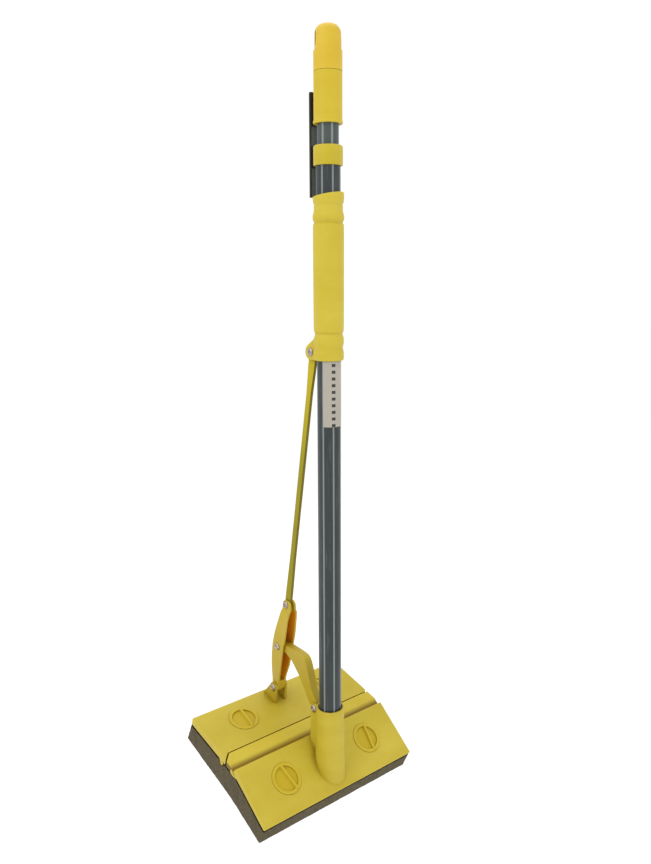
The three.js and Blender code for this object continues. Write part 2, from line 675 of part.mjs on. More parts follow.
function centreSponge() {
  const outline = [
    [34.2, -766.6], [34.2, -800.3], SPONGE_MIDDLE_BOTTOM, [59.7, -790.5], [60.3, -764.2], [55.7, -764.0],
    [54.9, -762.2], [51.3, -759.9], [43.2, -762.2], [42.0, -765.2], [38.6, -766.1], [34.8, -766.5],
  ];
  return alongX(outline, -halfHead, halfHead);
}

function rearSponge() {
  const outline = [
    [60.9, -764.2], [60.2, -790.3], SPONGE_REAR_BOTTOM,
    inFrame(rearFrame, REAR_WIDTH, -WING_THICKNESS - SPONGE_GAP),
    inFrame(rearFrame, 8, -WING_THICKNESS - SPONGE_GAP), [63.5, -759.6], [62.6, -763.6],
  ];
  return cut(
    alongX(outline, -halfHead, halfHead),
    ...spongePockets(rearFrame, 12, 56, [KNOBS.knob_rear_left, KNOBS.knob_rear_right]),
  );
}

const SOCKET_SCREW = [0, -737];

function socketScrew() {
  return join(drumX(SOCKET_SCREW, 1.45, 9.6, 15.4, 16), drumX(SOCKET_SCREW, 3.0, 15.0, 16.6, 18));
}

// ---- assembly ----
addPart('outer_tube', outerTube(), metal(SLATE));
addPart('inner_tube', innerTube(), metal(SLATE));
addPart('guide_plug', guidePlug(), plastic(NYLON));
addPart('split_collet', splitCollet(), plastic(NYLON));
addPart('lock_collar', lockCollar(), plastic(YELLOW));
addPart('end_grip', endGrip(), plastic(YELLOW));
addPart('hang_cap', hangCap(), plastic(YELLOW));
addPart('hanger_strip', hangerStrip(), metal(SLATE));
addPart('hanger_rivet_upper', hangerRivet(-57), metal(STEEL));
addPart('hanger_rivet_lower', hangerRivet(-69), metal(STEEL));
addPart('tube_label', label(), plastic(LABEL));
addPart('socket_screw', socketScrew(), metal(STEEL));
addPart('slide_grip', slideGrip(), plastic(YELLOW));
addPart('grip_rivet', rivet(ROD_TOP_PIVOT, 5.2), metal(STEEL));
addPart('push_rod', pushRod(), plastic(OLIVE_YELLOW));
addPart('lever', lever(), plastic(OLIVE_YELLOW));
addPart('rod_rivet_near', stubRivet(ROD_LOWER_PIVOT, -1, 2.4, 4.4), metal(STEEL));
addPart('rod_rivet_far', stubRivet(ROD_LOWER_PIVOT, 1, 2.4, 4.4), metal(STEEL));
addPart('arm_rivet_near', stubRivet(ARM_LEVER_PIVOT, -1, 5.6, 8.1), metal(STEEL));
addPart('arm_rivet_far', stubRivet(ARM_LEVER_PIVOT, 1, 5.6, 8.1), metal(STEEL));
addPart('arm', arm(), plastic(YELLOW));
addPart('arm_socket_rivet', rivet(ARM_SOCKET_PIVOT, 7.8), metal(STEEL));
addPart('clevis_rivet', rivet(CLEVIS_PIVOT, 8.7), metal(STEEL));
addPart('front_wing', frontWing(), plastic(YELLOW));
addPart('centre_strip', centreStrip(), plastic(YELLOW));
addPart('rear_wing', rearWing(), plastic(YELLOW));
addPart('front_hinge_pin', hingePin(FRONT_HINGE), metal(STEEL));
addPart('rear_hinge_pin', hingePin(rearHinge), metal(STEEL));
addPart('front_sponge', frontSponge(), plastic(FOAM, 0.95));
addPart('centre_sponge', centreSponge(), plastic(FOAM, 0.95));
addPart('rear_sponge', rearSponge(), plastic(FOAM, 0.95));

for (const [name, frame, low, high, knobs] of [
  ['front_backing_plate', frontFrame, -61, -15, [KNOBS.knob_front_left, KNOBS.knob_front_right]],
  ['rear_backing_plate', rearFrame, 13, 55, [KNOBS.knob_rear_left, KNOBS.knob_rear_right]],
]) {
  const group = new THREE.Group();
  group.applyMatrix4(frame);
  assembly.add(group);
  addPart(name, backingPlate(low, high, knobs), plastic(NYLON), group);
}

for (const [name, { at: [x, along], turn }] of Object.entries(KNOBS)) {
  const group = new THREE.Group();
  group.applyMatrix4(frameAt(name.includes('front') ? frontFrame : rearFrame, x, along, 0));
  group.rotateZ(THREE.MathUtils.degToRad(turn));
  assembly.add(group);
  addPart(name, knob(), plastic(YELLOW), group);
}

export default assembly;
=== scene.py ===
import math

import bmesh
import bpy
from mathutils import Matrix, Vector, noise


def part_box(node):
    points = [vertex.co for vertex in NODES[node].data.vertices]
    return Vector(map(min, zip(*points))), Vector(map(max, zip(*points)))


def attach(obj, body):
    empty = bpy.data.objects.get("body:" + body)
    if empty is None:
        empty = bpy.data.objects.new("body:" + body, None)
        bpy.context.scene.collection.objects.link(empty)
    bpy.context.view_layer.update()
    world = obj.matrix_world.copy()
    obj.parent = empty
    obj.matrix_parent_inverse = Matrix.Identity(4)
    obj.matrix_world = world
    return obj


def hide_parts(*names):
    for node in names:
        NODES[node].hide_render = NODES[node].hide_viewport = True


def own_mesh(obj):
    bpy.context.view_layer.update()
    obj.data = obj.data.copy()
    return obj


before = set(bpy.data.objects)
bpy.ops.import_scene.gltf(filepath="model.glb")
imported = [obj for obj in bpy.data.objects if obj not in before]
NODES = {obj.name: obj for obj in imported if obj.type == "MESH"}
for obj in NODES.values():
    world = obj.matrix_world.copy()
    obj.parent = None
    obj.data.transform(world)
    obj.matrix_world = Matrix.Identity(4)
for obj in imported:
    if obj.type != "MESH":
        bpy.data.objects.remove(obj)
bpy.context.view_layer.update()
MM = 0.001

# The top planes of the front wing and of the strip and rear wing, as in the CAD.
FRONT_SLOPE = math.radians(39.96)
REAR_SLOPE = math.radians(14.72)
FRONT_EDGE = Vector((0, 31.1, -755.5)) * MM
REAR_EDGE = Vector((0, 56.1, -750.6)) * MM


def slope_frame(edge, slope):
    """A frame on a top plane: x along the head, y up the slope's line, z out of the plane."""
    return Matrix.Translation(edge) @ Matrix.Rotation(slope, 4, "X")


def up_of(place):
    return place.to_3x3() @ Vector((0, 0, 1))


FRONT = slope_frame(FRONT_EDGE, FRONT_SLOPE)
REAR = slope_frame(REAR_EDGE, REAR_SLOPE)


# ---- materials ----
def srgb(r, g, b):
    """An sRGB colour of 0 to 255 as linear RGBA."""
    def lin(c):
        c /= 255
        return c / 12.92 if c <= 0.04045 else ((c + 0.055) / 1.055) ** 2.4
    return (lin(r), lin(g), lin(b), 1)


class Nodes:
    """A short way to wire a material's nodes."""

    def __init__(self, name):
        self.mat = bpy.data.materials.new(name)
        self.mat.use_nodes = True
        self.tree = self.mat.node_tree
        self.tree.nodes.clear()
        self.out = self.tree.nodes.new("ShaderNodeOutputMaterial")
        self.bsdf = self.new("ShaderNodeBsdfPrincipled")
        self.link(self.bsdf.outputs[0], self.out.inputs[0])
        self.coords = self.new("ShaderNodeTexCoord").outputs["Object"]

    def new(self, kind, **values):
        node = self.tree.nodes.new(kind)
        for key, value in values.items():
            setattr(node, key, value)
        return node

    def link(self, a, b):
        self.tree.links.new(a, b)

    def value(self, socket, v):
        """Sets a socket to another node's output or to a plain value."""
        if hasattr(v, "links"):
            self.link(v, socket)
        else:
            socket.default_value = v

    def math(self, op, a, b=0.0, clamp=False):
        node = self.new("ShaderNodeMath", operation=op, use_clamp=clamp)
        self.value(node.inputs[0], a)
        self.value(node.inputs[1], b)
        return node.outputs[0]

    def plus(self, a, b):
        return self.math("ADD", a, b)

    def minus(self, a, b):
        return self.math("SUBTRACT", a, b)

    def times(self, a, b):
        return self.math("MULTIPLY", a, b)

    def size(self, a):
        return self.math("ABSOLUTE", a)

    def noise(self, scale, detail=3.0, rough=0.55, vector=None):
        """Noise of scale cells per metre."""
        node = self.new("ShaderNodeTexNoise")
        self.link(vector or self.coords, node.inputs["Vector"])
        node.inputs["Scale"].default_value = scale
        node.inputs["Detail"].default_value = detail
        node.inputs["Roughness"].default_value = rough
        return node.outputs["Fac"]

    def voronoi(self, scale):
        node = self.new("ShaderNodeTexVoronoi")
        self.link(self.coords, node.inputs["Vector"])
        node.inputs["Scale"].default_value = scale
        return node.outputs["Distance"]

    def stretched(self, sx, sy, sz):
        node = self.new("ShaderNodeMapping")
        self.link(self.coords, node.inputs["Vector"])
        node.inputs["Scale"].default_value = (sx, sy, sz)
        return node.outputs[0]

    def span(self, v, a, b, c=0.0, d=1.0, smooth=False):
        """Takes v from a to b into c to d, and holds it there beyond."""
        node = self.new("ShaderNodeMapRange")
        if smooth:
            node.interpolation_type = "SMOOTHSTEP"
        self.value(node.inputs[0], v)
        for i, x in enumerate((a, b, c, d), 1):
            self.value(node.inputs[i], x)
        return node.outputs[0]

    def within(self, v, half, soft):
        """1 where v is below half, and 0 where it is above, over a soft step."""
        return self.span(v, half - soft, half + soft, 1.0, 0.0)

    def profile(self, v, points):
        """A line through points of (v, value) in mm, level beyond its ends."""
        total = None
        for (v0, a), (v1, b) in zip(points, points[1:]):
            if total is None:
                total = self.span(v, v0 * MM, v1 * MM, a * MM, b * MM)
            elif a != b:
                total = self.plus(total, self.span(v, v0 * MM, v1 * MM, 0.0, (b - a) * MM))
        return total

    def mix(self, fac, a, b):
        node = self.new("ShaderNodeMix", data_type="RGBA")
        self.value(node.inputs[0], fac)
        self.value(node.inputs[6], a)
        self.value(node.inputs[7], b)
        return node.outputs[2]

    def bump(self, height, distance, strength, normal=None):
        node = self.new("ShaderNodeBump")
        self.value(node.inputs["Strength"], strength)
        node.inputs["Distance"].default_value = distance
        self.value(node.inputs["Height"], height)
        if normal is not None:
            self.link(normal, node.inputs["Normal"])
        return node.outputs[0]

    def grain(self, normal=None):
        """The fine grain that every moulded plastic here has."""
        return self.bump(self.noise(1500, 3, 0.6), 0.00006, 0.5, normal)

    def paint_texture(self, strength):
        """The fine unevenness of the painted metal."""
        return self.bump(self.noise(700, 3, 0.6), 0.00004, strength)

    def specks(self, amount):
        return self.span(self.noise(900, 2, 0.6), 0.60, 0.74, 0.0, amount)

    def height(self, point, normal):
        """How far a point of the piece lies above a plane."""
        offset = self.new("ShaderNodeVectorMath", operation="SUBTRACT")
        self.link(self.coords, offset.inputs[0])
        offset.inputs[1].default_value = point
        dot = self.new("ShaderNodeVectorMath", operation="DOT_PRODUCT")
        self.link(offset.outputs[0], dot.inputs[0])
        dot.inputs[1].default_value = normal
        return dot.outputs["Value"]

    def parts_of(self, vector):
        node = self.new("ShaderNodeSeparateXYZ")
        self.link(vector, node.inputs[0])
        return node.outputs

    def xyz(self):
        return self.parts_of(self.coords)

    def occlusion(self, distance, inside):
        node = self.new("ShaderNodeAmbientOcclusion", inside=inside, samples=8)
        node.inputs["Distance"].default_value = distance
        return node.outputs["AO"]

    def edges(self, width=0.0011):
        """1 on outer edges, 0 on open faces."""
        return self.span(self.occlusion(width, True), 0.98, 0.6)

    def hollow(self, distance=0.009, open_face=0.9, deep=0.35):
        """1 deep in a recess, 0 on open faces."""
        return self.span(self.occlusion(distance, False), open_face, deep)

    def set(self, **values):
        """Sets the shader's inputs; an underscore stands for a space in their names."""
        for key, v in values.items():
            self.value(self.bsdf.inputs[key.replace("_", " ")], v)


# Painted shade, a deeper saturated yellow, for recesses and for faces close to tall neighbours.
RECESS_SHADE = srgb(152, 124, 2)


def moulded_plastic(name, main, deep, pale, rough, sunk_shade=None, shelter_shade=0.0):
    """Moulded plastic: cloudy colour, flow marks, fine grain, pale edges, painted shade in
    recesses.

    main, deep and pale are sRGB colours, and the pale edges are partly wear and partly a painted
    highlight. sunk_shade is (frame, start, end, colour) for painted shade on what lies that far
    below the frame's top plane, and shelter_shade is how much painted shade the open faces take
    close to tall neighbours.
    """
    main, deep, pale = srgb(*main), srgb(*deep), srgb(*pale)
    n = Nodes(name)
    cloud = n.noise(18, 4, 0.6)
    flow = n.noise(9, 3, 0.5, n.stretched(1.0, 1.0, 6.0))
    colour = n.mix(n.span(cloud, 0.32, 0.68), main, deep)
    colour = n.mix(n.times(n.span(flow, 0.45, 0.75), 0.35), colour, pale)
    colour = n.mix(n.specks(0.28), colour, deep)
    # Pale edges: partly wear, partly a painted highlight.
    colour = n.mix(n.times(n.edges(), 0.35), colour, pale)
    # Painted shade on what lies below the frame's top plane.
    if sunk_shade:
        place, start, end, sunk_colour = sunk_shade
        height = n.height(place.to_translation(), up_of(place))
        colour = n.mix(n.span(height, start, end), colour, sunk_colour)
    # Wide painted shade over open faces close to tall neighbours.
    if shelter_shade:
        near_walls = n.hollow(0.05, 0.97, 0.5)
        colour = n.mix(n.times(near_walls, shelter_shade), colour, RECESS_SHADE)
    # Painted shade deep in recesses.
    colour = n.mix(n.times(n.hollow(), 0.9), colour, RECESS_SHADE)
    waves = n.bump(n.noise(32, 2, 0.4), 0.0006, 0.35)
    scuffs = n.span(n.noise(140, 5, 0.7), 0.5, 0.78)
    sheen = n.span(cloud, 0.3, 0.7, rough - 0.05, rough + 0.06)
    roughness = n.plus(sheen, n.times(scuffs, 0.12))
    n.set(Base_Color=colour, Roughness=roughness, Normal=n.grain(waves))
    n.set(Specular_IOR_Level=0.35)
    return n.mat


STRIPE_COUNT = 7
STRIPE_TURN = math.radians(199.5)


def striped_tube(name, radius, main, deep, stripe, half_line):
    """Satin slate paint with pale lengthwise pinstripes, rubbed a little along the tube.

    main, deep and stripe are sRGB colours, and half_line is half a stripe's width.
    """
    main, deep, stripe = srgb(*main), srgb(*deep), srgb(*stripe)
    n = Nodes(name)
    x, y, _ = n.xyz()
    angle = n.math("ARCTAN2", y, x)
    turn = n.math("DIVIDE", n.minus(angle, STRIPE_TURN), math.tau / STRIPE_COUNT)
    part = n.minus(turn, n.math("ROUND", turn))
    arc = n.times(n.size(part), math.tau / STRIPE_COUNT * radius)
    arc = n.plus(arc, n.times(n.minus(n.noise(260, 2), 0.5), 0.00012))
    line = n.span(arc, half_line - 0.00012, half_line + 0.00014, 1.0, 0.0, smooth=True)
    cloud = n.noise(14, 4, 0.6)
    rub_and_painted_shadow = n.noise(60, 4, 0.6, n.stretched(6.0, 6.0, 0.5))
    base = n.mix(n.span(cloud, 0.3, 0.7), main, deep)
    base = n.mix(n.times(n.span(rub_and_painted_shadow, 0.55, 0.8), 0.25), base, stripe)
    worn = n.span(n.noise(500, 3, 0.7), 0.3, 0.62, 0.72, 1.0)
    colour = n.mix(n.times(line, worn), base, stripe)
    normal = n.bump(line, 0.00004, 0.5, n.paint_texture(0.35))
    n.set(Base_Color=colour, Roughness=n.span(rub_and_painted_shadow, 0.3, 0.75, 0.30, 0.48), Normal=normal)
    n.set(Specular_IOR_Level=0.35)
    return n.mat


def brushed_steel():
    n = Nodes("steel")
    rub_and_painted_shadow = n.noise(700, 4, 0.6, n.stretched(1.0, 0.15, 1.0))
    stain = n.noise(160, 4, 0.6)
    colour = n.mix(n.span(stain, 0.42, 0.72), (0.46, 0.39, 0.36, 1), (0.20, 0.15, 0.12, 1))
    # Near-white edges: partly wear, partly a painted highlight.
    colour = n.mix(n.times(n.edges(0.0006), 0.3), colour, (0.9, 0.9, 0.88, 1))
    n.set(Base_Color=colour, Metallic=1.0, Normal=n.bump(rub_and_painted_shadow, 0.00003, 0.5))
    n.set(Roughness=n.span(rub_and_painted_shadow, 0.3, 0.7, 0.18, 0.40))
    return n.mat


FOAM_MAIN = srgb(92, 84, 65)
FOAM_DEEP = srgb(46, 40, 29)
FOAM_PALE = srgb(97, 90, 71)
# The colour of the painted shadow line where the foam meets its plate.
FOAM_SHADOW_LINE = srgb(26, 18, 8)


def foam(name, plate_point, plate_normal):
    """Open-cell absorbent foam: rounded pores of two sizes with painted shade in them, and a
    painted shadow line where it meets its plate.
    """
    n = Nodes(name)
    big = n.voronoi(430)
    small = n.voronoi(1150)
    blotch = n.noise(16, 4, 0.6)
    streak = n.noise(120, 3, 0.6, n.stretched(1.0, 1.0, 0.25))
    pores = n.span(big, 0.10, 0.42, smooth=True)
    fine = n.span(small, 0.12, 0.5, smooth=True)
    body = n.mix(n.span(blotch, 0.3, 0.7), FOAM_MAIN, FOAM_PALE)
    body = n.mix(n.times(n.span(streak, 0.5, 0.75), 0.3), body, FOAM_DEEP)
    # The pores and the fine cells are darkened as painted shade in them.
    colour = n.mix(n.times(n.minus(1.0, pores), 0.55), body, FOAM_DEEP)
    colour = n.mix(n.times(n.minus(1.0, fine), 0.35), colour, FOAM_DEEP)
    # A painted shadow band along the foam's top, next to its plate, with a ragged lower edge.
    ragged = n.times(n.noise(160, 3), 0.0005)
    depth = n.plus(n.height(plate_point, plate_normal), ragged)
    colour = n.mix(n.span(depth, -0.0032, -0.0022), colour, FOAM_SHADOW_LINE)
    normal = n.bump(pores, 0.0006, 0.8, n.bump(fine, 0.00025, 0.6))
    n.set(Base_Color=colour, Roughness=0.93, Normal=normal, Specular_IOR_Level=0.12)
    return n.mat


def hanger_paint():
    """Slate painted flat bar: darker rolled edges, and painted shadow on its front face beside the
    sleeves.
    """
    n = Nodes("hanger_paint")
    x, y, z = n.xyz()
    cloud = n.noise(14, 4, 0.6)
    face = n.mix(n.span(cloud, 0.3, 0.7), srgb(112, 116, 112), srgb(104, 108, 104))
    edge = n.span(n.size(x), 0.0069, 0.0076)
    # Painted shadow on the front face, close behind the end grip and the collar.
    past_grip = n.span(z, -0.0815, -0.0800)
    past_collar = n.times(n.span(z, -0.1213, -0.1201), n.span(z, -0.1001, -0.0989, 1.0, 0.0))
    front = n.span(y, 0.0178, 0.0186, 1.0, 0.0)
    rub_and_painted_shadow = n.times(n.math("ADD", past_grip, past_collar, clamp=True), front)
    colour = n.mix(n.math("MAXIMUM", edge, rub_and_painted_shadow), face, srgb(46, 44, 38))
    dust = n.span(n.noise(800, 3, 0.7), 0.62, 0.8, 0.0, 0.3)
    colour = n.mix(dust, colour, srgb(92, 95, 93))
    n.set(Base_Color=colour, Roughness=n.span(cloud, 0.3, 0.7, 0.42, 0.55))
    n.set(Specular_IOR_Level=0.3, Normal=n.paint_texture(0.4))
    return n.mat


# Heights between which the rod turns to its brighter top.
ROD_DULL = -0.440
ROD_BRIGHT = -0.335


def rod_plastic():
    """Olive-yellow flat rod: brighter towards its top, with painted shade along its slim front edge
    and in its recesses.
    """
    n = Nodes("olive_plastic")
    z = n.xyz()[2]
    cloud = n.noise(18, 4, 0.6)
    face = n.mix(n.span(cloud, 0.32, 0.68), srgb(150, 140, 8), srgb(138, 127, 5))
    face = n.mix(n.span(z, ROD_DULL, ROD_BRIGHT), face, srgb(184, 166, 14))
    facing = n.parts_of(n.new("ShaderNodeTexCoord").outputs["Normal"])
    # Painted shade on the faces that look to the front.
    front_face_shade = n.span(facing[1], -0.5, -0.85, 0.0, 0.85)
    colour = n.mix(front_face_shade, face, srgb(118, 103, 2))
    # Painted shade in recesses.
    colour = n.mix(n.times(n.hollow(), 0.7), colour, srgb(104, 88, 2))
    colour = n.mix(n.specks(0.25), colour, srgb(120, 108, 4))
    n.set(Base_Color=colour, Roughness=n.span(cloud, 0.3, 0.7, 0.42, 0.52), Normal=n.grain())
    n.set(Specular_IOR_Level=0.2)
    return n.mat


# The lever's channel as in the CAD, in mm: its half width and its back wall's y at some heights.
CHANNEL_HALF = [(-613.4, 2.6), (-617.0, 4.6), (-627.5, 5.8), (-640.0, 6.3), (-668.0, 6.3),
                (-690.0, 5.8), (-710.0, 3.9)]
CHANNEL_WALL = [(-616.5, 80.8), (-646.3, 91.7), (-676.2, 98.7), (-704.5, 100.6)]
# The heights over which the channel's painted shade comes in at its bottom and goes at its top.
CHANNEL_BOTTOM = (-0.711, -0.7095)
CHANNEL_TOP = (-0.6162, -0.6168)
CHANNEL_SOFT = 0.0001


def lever_plastic():
    """The pressed lever: yellow outside, with warm orange-brown painted shade inside its channel.
    """
    n = Nodes("yellow_lever_plastic")
    x, y, z = n.xyz()
    cloud = n.noise(18, 4, 0.6)
    outside = n.mix(n.span(cloud, 0.32, 0.68), srgb(186, 163, 40), srgb(178, 153, 30))
    # Painted shade inside the channel, in warm orange-brown.
    inside = n.mix(n.span(cloud, 0.32, 0.68), srgb(220, 150, 26), srgb(208, 138, 16))
    between_sides = n.minus(n.profile(z, CHANNEL_HALF), n.size(x))
    before_wall = n.minus(n.profile(z, CHANNEL_WALL), y)
    channel_shade = n.times(n.span(between_sides, -CHANNEL_SOFT, CHANNEL_SOFT),
                   n.span(before_wall, -CHANNEL_SOFT, CHANNEL_SOFT))
    channel_shade = n.times(channel_shade, n.span(z, *CHANNEL_BOTTOM))
    channel_shade = n.times(channel_shade, n.span(z, *CHANNEL_TOP))
    colour = n.mix(channel_shade, outside, inside)
    # Pale edges: partly wear, partly a painted highlight.
    colour = n.mix(n.times(n.edges(), 0.3), colour, srgb(206, 186, 70))
    n.set(Base_Color=colour, Roughness=n.span(cloud, 0.3, 0.7, 0.4, 0.5), Normal=n.grain())
    n.set(Specular_IOR_Level=0.35)
    return n.mat


# The film's column of plain dark bars.
FILM_RADIUS = 0.01265
MARK_COUNT = 10
MARK_ANGLE = math.radians(-108.0)
MARK_TOP = -0.3185
MARK_PITCH = 0.007
MARK_HALF_WIDTH = 0.0021
MARK_HALF_HEIGHT = 0.0016
MARK_SOFT = 0.0001


def printed_film():
    """Matt printed film with a column of plain dark bars, in slightly uneven ink."""
    n = Nodes("printed_film")
    x, y, z = n.xyz()
    angle = n.math("ARCTAN2", y, x)
    around = n.size(n.times(n.minus(angle, MARK_ANGLE), FILM_RADIUS))
    step = n.math("DIVIDE", n.minus(MARK_TOP, z), MARK_PITCH)
    count = n.math("ROUND", step)
    along = n.size(n.times(n.minus(step, count), MARK_PITCH))
    bar = n.times(n.within(around, MARK_HALF_WIDTH, MARK_SOFT),
                  n.within(along, MARK_HALF_HEIGHT, MARK_SOFT))
    rows = n.times(n.span(count, -0.6, -0.4), n.within(count, MARK_COUNT - 0.5, 0.1))
    ink = n.times(bar, rows)
    ink = n.times(ink, n.span(n.noise(2600, 2), 0.25, 0.5, 0.75, 1.0))
    film = n.mix(n.span(n.noise(30, 3), 0.3, 0.7), srgb(170, 165, 152), srgb(163, 158, 146))
    film = n.mix(n.span(n.noise(900, 3), 0.55, 0.8, 0.0, 0.3), film, srgb(178, 173, 162))
    colour = n.mix(ink, film, srgb(46, 44, 42))
    n.set(Base_Color=colour, Roughness=n.span(n.noise(60, 3), 0.3, 0.7, 0.42, 0.55))
    n.set(Normal=n.bump(n.noise(120, 3), 0.00005, 0.3), Specular_IOR_Level=0.3)
    return n.mat


HEAD_COLOURS = ((188, 168, 47), (180, 159, 37), (206, 188, 71))
STRIP_COLOURS = ((195, 174, 46), (187, 165, 36), (210, 192, 70))
KNOB_COLOURS = ((190, 167, 26), (182, 158, 18), (204, 184, 52))
# How far below the top plane the valley of the strip and the floor of a knob lie, and the colour of
# the painted shade there.
STRIP_VALLEY_SHADE = (REAR, -0.0001, -0.0026, srgb(116, 91, 0))
KNOB_FLOOR_SHADE = (0.0, -0.0007, srgb(183, 158, 8))
# The plates that the foam is glued to lie this far below the top planes; the foam's painted shadow
# line is measured from them.
PLATE_POINT = Vector((0, 0, -0.007))
# The front plate's normal in the front frame, a little off the wing's own.
FRONT_PLATE_NORMAL = Vector((0, 0.0782, 0.9969))

YELLOW_GRIP = moulded_plastic(
    "yellow_grip_plastic", (197, 177, 50), (190, 169, 40), (206, 187, 66), 0.5)
YELLOW_END = moulded_plastic(
    "yellow_end_plastic", (200, 175, 36), (194, 168, 28), (212, 188, 56), 0.44)
YELLOW_CAP = moulded_plastic(
    "yellow_cap_plastic", (208, 176, 42), (202, 169, 32), (218, 188, 58), 0.4)
YELLOW_COLLAR = moulded_plastic(
    "yellow_collar_plastic", (190, 170, 33), (182, 161, 24), (206, 186, 58), 0.42)
YELLOW_ARM = moulded_plastic(
    "yellow_arm_plastic", (182, 159, 38), (170, 146, 26), (198, 178, 58), 0.44)
NYLON = moulded_plastic(
    "nylon", (206, 206, 198), (194, 192, 182), (216, 216, 210), 0.4)
YELLOW_HEAD = moulded_plastic("yellow_head_plastic", *HEAD_COLOURS, 0.5)
# The rear wing takes wide painted shade close to the tall parts that stand over it.
YELLOW_REAR = moulded_plastic("yellow_rear_plastic", *HEAD_COLOURS, 0.5, shelter_shade=0.6)
YELLOW_STRIP = moulded_plastic("yellow_strip_plastic", *STRIP_COLOURS, 0.5, STRIP_VALLEY_SHADE)
FRONT_KNOB = moulded_plastic("front_knob_plastic", *KNOB_COLOURS, 0.46, (FRONT, *KNOB_FLOOR_SHADE))
REAR_KNOB = moulded_plastic("rear_knob_plastic", *KNOB_COLOURS, 0.46, (REAR, *KNOB_FLOOR_SHADE))
UPPER_PAINT = striped_tube(
    "upper_tube_paint", 0.0109, (70, 79, 77), (63, 72, 70), (132, 140, 138), 0.00105)
LOWER_PAINT = striped_tube(
    "lower_tube_paint", 0.0125, (48, 55, 56), (42, 48, 49), (128, 136, 134), 0.00088)
STEEL = brushed_steel()
FRONT_FOAM = foam("front_foam", FRONT @ PLATE_POINT, FRONT.to_3x3() @ FRONT_PLATE_NORMAL)
REAR_FOAM = foam("rear_foam", REAR @ PLATE_POINT, up_of(REAR))


def assign(mat, *names):
    for name in names:
        node = NODES[name]
        node.data.materials.clear()
        node.data.materials.append(mat)


assign(YELLOW_GRIP, "slide_grip")
assign(YELLOW_END, "end_grip")
assign(YELLOW_COLLAR, "lock_collar")
assign(YELLOW_ARM, "arm")
assign(YELLOW_CAP, "hang_cap")
assign(YELLOW_HEAD, "front_wing")
assign(YELLOW_REAR, "rear_wing")
assign(YELLOW_STRIP, "centre_strip")
assign(FRONT_KNOB, "knob_front_left", "knob_front_right")
assign(REAR_KNOB, "knob_rear_left", "knob_rear_right")
assign(lever_plastic(), "lever")
assign(rod_plastic(), "push_rod")
assign(NYLON, "guide_plug", "split_collet", "front_backing_plate", "rear_backing_plate")
assign(UPPER_PAINT, "inner_tube")
assign(hanger_paint(), "hanger_strip")
assign(LOWER_PAINT, "outer_tube")
assign(STEEL, *[n for n in NODES if "rivet" in n or "pin" in n or "screw" in n])
assign(printed_film(), "tube_label")


# ---- camera, light and floor ----
CAMERA_PLACE = Vector((-0.5438, -0.6364, -0.2335))
FORWARD = Vector((0.6350, 0.7502, -0.1843)).normalized()
RIGHT_HINT = Vector((0.7628, -0.6466, -0.0045))
RIGHT = (RIGHT_HINT - FORWARD * RIGHT_HINT.dot(FORWARD)).normalized()
LENS = 33.39
SENSOR = 36


def make_camera():
    data = bpy.data.cameras.new("camera")
    data.sensor_width = SENSOR
    data.lens = LENS
    data.clip_start = 0.05
    data.clip_end = 20
    data.dof.use_dof = False
    cam = bpy.data.objects.new("camera", data)
    bpy.context.scene.collection.objects.link(cam)
    turn = Matrix((RIGHT, RIGHT.cross(FORWARD), -FORWARD)).transposed().to_4x4()
    cam.matrix_world = Matrix.Translation(CAMERA_PLACE) @ turn
    bpy.context.scene.camera = cam


MIDDLE = Vector((0, 0, -0.42))


def area_light(name, place, side, power):
    """A square light of the given side that faces the middle of the object."""
    data = bpy.data.lights.new(name, "AREA")
    data.shape = "RECTANGLE"
    data.size = side
    data.size_y = side
    data.energy = power
    lamp = bpy.data.objects.new(name, data)
    bpy.context.scene.collection.objects.link(lamp)
    lamp.location = place
    lamp.rotation_euler = (MIDDLE - place).to_track_quat("-Z", "Y").to_euler()


def make_lights():
    key = MIDDLE - FORWARD * 1.2 - RIGHT * 1.3 + Vector((0, 0, 1.2))
    fill = MIDDLE - FORWARD * 1.6 + RIGHT * 1.6 + Vector((0, 0, 0.3))
    area_light("key", key, 1.6, 9)
    area_light("fill", fill, 1.8, 3)
    area_light("top", MIDDLE + Vector((0.1, 0.2, 1.6)), 1.6, 6)


WORLD_LIGHT = 1.04


def make_world():
    world = bpy.data.worlds.new("world")
    world.use_nodes = True
    background = world.node_tree.nodes["Background"]
    background.inputs[0].default_value = (1.0, 1.0, 1.0, 1)
    background.inputs[1].default_value = WORLD_LIGHT
    bpy.context.scene.world = world
    bpy.context.scene.view_settings.view_transform = "Standard"


# Well below the head, so that the object's shadow stays out of the picture.
FLOOR_LEVEL = -1.05
FLOOR_HALF = 12


def make_floor():
    bm = bmesh.new()
    bmesh.ops.create_grid(bm, x_segments=8, y_segments=8, size=FLOOR_HALF)
    mesh = bpy.data.meshes.new("floor")
    bm.to_mesh(mesh)
    bm.free()
    floor = bpy.data.objects.new("floor", mesh)
    floor.location = (0, 0, FLOOR_LEVEL)
    bpy.context.scene.collection.objects.link(floor)
    n = Nodes("floor")
    shade = n.noise(3, 3, 0.5)
    n.set(Base_Color=n.mix(shade, (0.95, 0.95, 0.95, 1), (0.97, 0.97, 0.97, 1)))
    n.set(Roughness=0.9, Specular_IOR_Level=0.1)
    mesh.materials.append(n.mat)


make_camera()
make_lights()
make_world()
make_floor()


# ---- pieces made here: foam blocks and tubular rivets ----
def new_piece(name, mesh, material, body, slot, *nodes):
    piece = bpy.data.objects.new(name, mesh)
    bpy.context.scene.collection.objects.link(piece)
    mesh.materials.clear()
    mesh.materials.append(material)
    for poly in mesh.polygons:
        poly.use_smooth = True
    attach(piece, body)
    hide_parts(*nodes)
    return piece


SPONGES = ("front_sponge", "centre_sponge", "rear_sponge")
